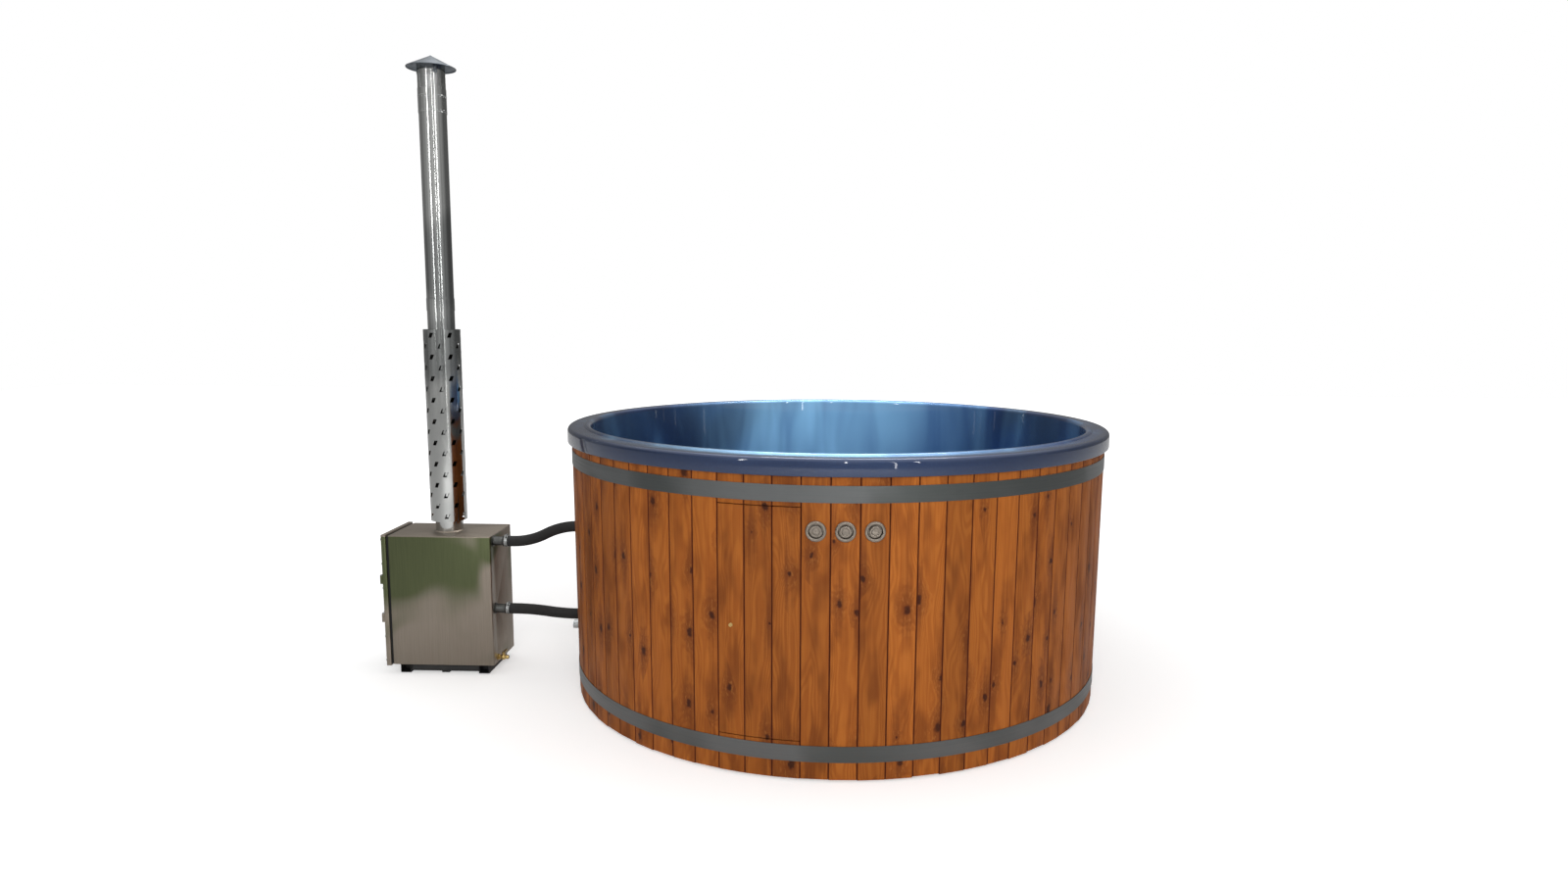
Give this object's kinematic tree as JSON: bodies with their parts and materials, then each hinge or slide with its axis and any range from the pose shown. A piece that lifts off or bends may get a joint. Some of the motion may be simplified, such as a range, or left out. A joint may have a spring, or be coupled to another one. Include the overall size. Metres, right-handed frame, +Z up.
{
  "type": "wood-burning hot tub",
  "caption": "Round moulded tub in stained board cladding with steel bands, service hatch, push buttons, and an outside wood-fired water heater with shielded flue, joined by hoses.",
  "frame": {"origin": "on the ground under the tub's axis, on the bottom face of the middle base runner", "axes": "+Z up along the tub's axis, -X towards the heater, -Y towards the side with the hatch and the buttons"},
  "size_m": [2.7615, 1.9998, 2.31],
  "materials": {
    "shell_gelcoat": "pearlescent blue gelcoat, high gloss",
    "cladding_wood": "stained spruce, satin",
    "frame_timber": "raw timber",
    "deck_board": "film-faced plywood",
    "band_steel": "brushed stainless",
    "brass": "plain brass",
    "black_plastic": "moulded",
    "button_chrome": "polished",
    "grey_plastic": "moulded",
    "white_plastic": "pipe",
    "fitting_steel": "turned stainless",
    "lever_red": "dipped grip",
    "hose_rubber": "smooth black",
    "clamp_zinc": "zinc plated",
    "black_steel": "satin black",
    "heater_steel": "ground stainless",
    "firebox_steel": "heat-darkened steel",
    "gasket_rubber": "flat seal",
    "seal_rope": "woven rope",
    "grip_wood": "oiled",
    "cast_iron": "as cast",
    "flue_steel": "polished stainless"
  },
  "bodies": {
    "tub": {"shell": "shell_gelcoat", "rim": "shell_gelcoat", "foot_well": "shell_gelcoat", "base_runners": "frame_timber", "base_joists": "frame_timber", "floor_deck": "deck_board", "wall_boards": "cladding_wood", "board_rings": "frame_timber", "bands": "band_steel", "band_clamps": "band_steel", "hatch_catches": "black_plastic", "button_bezels": "button_chrome", "button_bodies": "black_plastic", "control_box": "grey_plastic", "air_blower": "black_plastic", "air_pipe": "white_plastic", "air_nozzles": "fitting_steel", "return_fitting": "fitting_steel", "suction_fitting": "fitting_steel", "fitting_nuts": "black_plastic", "drain_fitting": "fitting_steel", "drain_valve": "fitting_steel", "upper_hose": "hose_rubber", "lower_hose": "hose_rubber", "hose_clamps": "clamp_zinc", "heater_base": "black_steel", "heater_casing": "heater_steel", "firebox": "firebox_steel", "heater_gasket": "gasket_rubber", "face_plate": "heater_steel", "plate_bolts": "clamp_zinc", "hinge_brackets": "heater_steel", "hinge_pins": "clamp_zinc", "latch_keeper": "heater_steel", "grate": "cast_iron", "flue_collar": "flue_steel", "flue_lower": "flue_steel", "flue_upper": "flue_steel", "heat_shield": "flue_steel", "shield_spacers": "flue_steel", "cap_sleeve": "flue_steel", "spark_mesh": "flue_steel", "rain_cap": "flue_steel", "heater_stubs": "fitting_steel", "drain_cock": "brass"},
    "hatch": {"hatch_boards": "cladding_wood", "hatch_battens": "frame_timber", "hatch_knob": "brass"},
    "button_left": {"button_1": "button_chrome"},
    "button_middle": {"button_2": "button_chrome"},
    "button_right": {"button_3": "button_chrome"},
    "door": {"fire_door": "heater_steel", "door_rope": "seal_rope", "door_baffle": "firebox_steel"},
    "latch": {"door_latch": "heater_steel", "latch_grip": "grip_wood"},
    "drawer": {"ash_drawer": "heater_steel"},
    "damper": {"air_damper": "heater_steel"},
    "drain_handle": {"drain_lever": "lever_red"},
    "cock_handle": {"cock_lever": "brass"}
  },
  "joints": [
    {"name": "hatch_pull", "type": "slide", "parent": "tub", "child": "hatch", "axis": [-0.23, -0.9732, 0], "range_m": [0, 0.15]},
    {"name": "button_left_press", "type": "slide", "parent": "tub", "child": "button_left", "axis": [0.0576, 0.9983, 0.0097], "range_m": [0, 0.004], "stiffness_N_per_m": 600, "springref_m": -0.004},
    {"name": "button_middle_press", "type": "slide", "parent": "tub", "child": "button_middle", "axis": [-0.0297, 0.9995, 0.0097], "range_m": [0, 0.004], "stiffness_N_per_m": 600, "springref_m": -0.004},
    {"name": "button_right_press", "type": "slide", "parent": "tub", "child": "button_right", "axis": [-0.1167, 0.9931, 0.0097], "range_m": [0, 0.004], "stiffness_N_per_m": 600, "springref_m": -0.004},
    {"name": "fire_door_swing", "type": "hinge", "parent": "tub", "child": "door", "pos_m": [-1.729, -0.125, 0.3], "axis": [0, 0, 1], "range_deg": [0, 110]},
    {"name": "latch_turn", "type": "hinge", "parent": "door", "child": "latch", "pos_m": [-1.717, 0.035, 0.295], "axis": [-1, 0, 0], "range_deg": [0, 60]},
    {"name": "ash_drawer_slide", "type": "slide", "parent": "tub", "child": "drawer", "axis": [-1, 0, 0], "range_m": [0, 0.3]},
    {"name": "air_damper_turn", "type": "hinge", "parent": "drawer", "child": "damper", "pos_m": [-1.717, -0.025, 0.102], "axis": [-1, 0, 0], "range_deg": [0, 45]},
    {"name": "tub_drain_turn", "type": "hinge", "parent": "tub", "child": "drain_handle", "pos_m": [-1.012, 0.04, 0.15], "axis": [0, 0, 1], "range_deg": [0, 90]},
    {"name": "heater_drain_turn", "type": "hinge", "parent": "tub", "child": "cock_handle", "pos_m": [-1.28, -0.1, 0.058], "axis": [0, 0, -1], "range_deg": [0, 90]}
  ]
}
